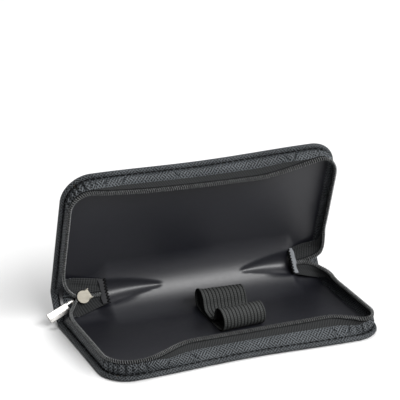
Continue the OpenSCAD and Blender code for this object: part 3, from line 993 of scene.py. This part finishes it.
def zigzag(name, x, low, high, replaced=()):
    """A row of zigzag stitches along a ribbon's edge."""
    tooth, half_width, radius = 0.85, 0.9, 0.36
    r = np.linspace(low, high, int((high - low) / tooth) * 4 + 1)
    saw = np.abs((np.arange(len(r)) / 4) % 2 - 1) * 2 - 1
    n = ZIGZAG_N + 0.25 * np.cos(saw * 2) + lift(r)
    piece = tube(name, [S(x + half_width * saw, r, n)], radius, 6, M_THREAD)
    if replaced:
        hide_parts(*replaced)
    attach(piece, "spine")


# ---------- Slider and pull ----------

def slider_piece():
    """Two plates with rails on their edges, the post between them, and the lug's arch."""
    disc_x, disc_r, neck_from = 0.4, 3.9, 2.81
    start = math.acos(neck_from / disc_r)
    sweep = np.linspace(start, 2 * math.pi - start, 60)
    disc = [(disc_x - disc_r * math.cos(a), disc_r * math.sin(a)) for a in sweep]
    neck = [(-4.15, -2.7), (-4.3, -2.55), (-4.3, 2.55), (-4.15, 2.7)]
    rail_y, rail_half, rail_end = 2.7, 0.28, -5
    arch = [(-0.2, 1.7), (7.0, 1.7), (7.5, 2.1), (7.62, 3.0), (7.45, 3.9), (6.8, 4.4),
            (5.4, 4.45), (4.2, 4.0), (3.0, 2.9), (1.2, 2.2), (-0.2, 2.1)]
    parts = []
    for sign in (1, -1):
        parts.append(mirrored(extruded(disc + neck, 1.2, 1.95, 0.2), sign))
        for side in (-1, 1):
            low, high = side * rail_y - rail_half, side * rail_y + rail_half
            rail = [(rail_end, low), (0, low), (0, high), (rail_end, high)]
            parts.append(mirrored(extruded(rail, 0.6, 1.4, 0.12), sign))
    parts.append(extruded(circle(2.9, 0.85), -1.3, 1.3, 0.1))
    parts.append(upright(extruded(arch, -0.95, 0.95, 0.22)))
    v, f = merged(parts)
    piece = make("slider_body", on_slider(v), f, M_SLIDER, flat=True)
    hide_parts("slider")
    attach(piece, "slider")


def pull_piece():
    """A bar with two facets on each side of a long ridge, and a loop round the slider's lug."""
    half_w, x0, x1 = 2.9, 3.6, 18.0
    sections = ((x0, 0.80, 0.45), (x0 + 0.5, 0.92, 0.85), (x0 + 2.0, 0.95, 1.0),
                (x1 - 0.9, 1.0, 1.0), (x1 - 0.3, 0.97, 0.85), (x1, 0.86, 0.4))
    facets = ((-1, 0), (-0.94, 0.62), (0.2, 0.80), (0.94, 0.32),
              (1, 0), (0.94, -0.32), (0.2, -0.80), (-0.94, -0.62))
    rows = [(x, half_w * k * y, z * thin) for x, k, thin in sections for y, z in facets]
    parts = [(np.array(rows), ring_faces(len(sections), len(facets)))]
    loop = [(4.3, -2.15), (2.2, -2.35), (-0.2, -2.3), (-0.9, -1.9), (-0.9, -1.4), (0.6, -1.2), (4.3, -1.15)]
    for sign in (1, -1):
        parts.append(extruded([(x, sign * y) for x, y in loop], -0.6, 0.6, 0.2))
    parts.append(upright(extruded(circle(0, 0.72), -2.0, 2.0, 0.1)))
    v, f = merged(parts)
    v = v + np.array([LUG_X, 0, PIN_Z])
    piece = make("pull_bar", on_slider(v), f, M_PULL, flat=True)
    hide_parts("pull_tab")
    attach(piece, "pull")


# ---------- Pen loops ----------

LOOPS = {
    "front": [(9.7, 2.75), (4.2, 2.85), (-0.6, 2.8), (-5.0, 4.1), (-7.9, 7.6), (-7.4, 12.0),
              (-3.9, 14.7), (0.2, 14.5), (3.2, 11.8), (4.4, 8.2), (6.2, 5.2), (9.7, 3.9)],
    "rear": [(9.9, 2.75), (16, 2.85), (22, 2.9), (27.4, 4.2), (30.4, 7.4), (30.1, 11.4),
             (27.0, 14.2), (22.8, 14.1), (20.2, 11.4), (19.2, 8.0), (16.8, 5.2), (9.9, 3.9)],
}


BAND_Y = 9.8  # where the band is sewn down between its loops
RIBS = 12.5  # along a loop's width


def pen_loop(which, slope, flare):
    """One elastic loop. It leans by its slope and its left mouth opens by its flare."""
    per_rib, left = 10, -3.6
    path, = resample(curve([(0, y, z) for y, z in LOOPS[which]], PER), 110)
    x = np.linspace(0, RIB * RIBS, int(RIBS * per_rib) + 1)
    phase = np.mod(x / RIB, 1.0)
    ridge = (np.sqrt(np.abs(np.sin(math.pi * phase))) - 0.12 * bump_at(phase, 0.5, 0.07))[:, None, None]
    y, z = path[:, 1], path[:, 2]
    n = unit(np.stack([0 * y, np.gradient(z), -np.gradient(y)], 1))
    if np.sum(n * (path - path.mean(0)), 1).mean() < 0:
        n = -n
    away = np.clip(np.abs(y - BAND_Y) / 12, 0, 1)
    lean = (x - 14.5)[:, None] * slope * away
    mouth = flare * smooth((4 - x) / 4)[:, None] * away * (z > 6)
    p = np.empty((len(x), len(path), 3))
    p[..., 0] = x[:, None] + left + 0.25 * np.sin(z / 4)
    p[..., 1] = y + lean
    p[..., 2] = z + mouth
    outer = p + n[None] * (0.40 * ridge + 0.35)
    inner = p - n[None] * (0.10 * ridge + 0.30)
    uv = np.stack(np.meshgrid(x, lengths(path), indexing="ij"), -1).reshape(-1, 2)
    piece = shell(which + "_pen_loop", outer, inner, M_ELASTIC, uv)
    if which == "front":
        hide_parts("pen_loops")
    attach(piece, "bottom")


def loop_thread():
    """The row of stitches that sews the band down between its loops."""
    first, pitch, half_l, height = -2.6, 2.9, 0.95, 4.75
    t = np.linspace(-1, 1, 7)
    xs = [first + k * pitch for k in range(10)]
    paths = [np.stack([x + half_l * t, BAND_Y + 0 * t, height - 0.5 * t ** 4], 1) for x in xs]
    piece = tube("loop_thread", paths, 0.28, 6, M_THREAD)
    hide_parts("loop_stitching")
    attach(piece, "bottom")


# ---------- Build ----------

for half in ("bottom", "top"):
    cover(half)
    strips(half)
    lining(half)
fold_skin()
ribbon("left_ribbon", -56.0, 3.4, 6.3, 20.8, M_RIBBON, "left_tab_ribbon")
ribbon("right_ribbon", 65.6, 2.9, 5.9, 21.2, M_RIBBON_LIGHT, "right_tab_ribbon")
zigzag("left_zigzag", -54.1, 6.4, 20.8, ("tab_stitching",))
zigzag("right_zigzag", 63.9, 6.0, 21.2)
slider_piece()
pull_piece()
pen_loop("front", 0.07, 0.5)
pen_loop("rear", -0.06, 0.9)
loop_thread()

for half in ("bottom", "top"):
    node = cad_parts[half + "_board"]
    node.data.materials.clear()
    node.data.materials.append(M_BOARD)

# ---------- Floor, light and camera ----------

floor_material, _, shader = nodes_of("floor")
shader.inputs["Base Color"].default_value = (0.7, 0.7, 0.7, 1)
shader.inputs["Roughness"].default_value = 0.9
floor_reach, floor_z = 4, -0.0003
floor_mesh = bpy.data.meshes.new("floor")
floor_quarters = ((-1, -1), (1, -1), (1, 1), (-1, 1))
floor_corners = [(floor_reach * x, floor_reach * y, floor_z) for x, y in floor_quarters]
floor_mesh.from_pydata(floor_corners, [], [[0, 1, 2, 3]])
floor_mesh.materials.append(floor_material)
floor = bpy.data.objects.new("floor", floor_mesh)
bpy.context.collection.objects.link(floor)

world = bpy.data.worlds.new("studio")
world.use_nodes = True
background = world.node_tree.nodes["Background"]
background.inputs["Color"].default_value = (1, 1, 1, 1)
background.inputs["Strength"].default_value = 0.14
bpy.context.scene.world = world
bpy.context.scene.view_settings.view_transform = "Standard"


def area_light(name, place, aim, size, power):
    light = bpy.data.lights.new(name, "AREA")
    light.shape = "RECTANGLE"
    light.size, light.size_y = size
    light.energy = power
    obj = bpy.data.objects.new(name, light)
    bpy.context.collection.objects.link(obj)
    obj.location = place
    obj.rotation_euler = (Vector(aim) - Vector(place)).to_track_quat("-Z", "Y").to_euler()


area_light("front_right", (0.85, -1.40, 1.45), (0.0, 0.1, 0.02), (3.0, 0.8), 95)
area_light("overhead", (0.1, 0.9, 2.4), (0, 0.3, 0), (1.6, 1.2), 45)

az, el, roll = math.radians(-24.5), math.radians(24.1), math.radians(1.35)
back = Vector((math.sin(az) * math.cos(el), -math.cos(az) * math.cos(el), math.sin(el)))
right = Vector((0, 0, 1)).cross(back).normalized()
up = back.cross(right)
right, up = right * math.cos(roll) + up * math.sin(roll), up * math.cos(roll) - right * math.sin(roll)
focal, sensor_w = 4.995, 36  # the focal length is in widths of the frame
distance = 1.147
looked_at = Vector((0, 0.020, 0.025))
aside = Vector((0.0225, -0.195, -focal)).normalized()  # puts the object below the frame's middle
nudge = aside.rotation_difference(Vector((0, 0, -1)))
turn = Matrix((right, up, back)).transposed() @ nudge.to_matrix()
camera_data = bpy.data.cameras.new("camera")
camera_data.sensor_width = sensor_w
camera_data.lens = sensor_w * focal
camera_data.clip_start, camera_data.clip_end = 0.05, 20
camera = bpy.data.objects.new("camera", camera_data)
bpy.context.collection.objects.link(camera)
camera.matrix_world = Matrix.Translation(looked_at + back * distance) @ turn.to_4x4()
bpy.context.scene.camera = camera
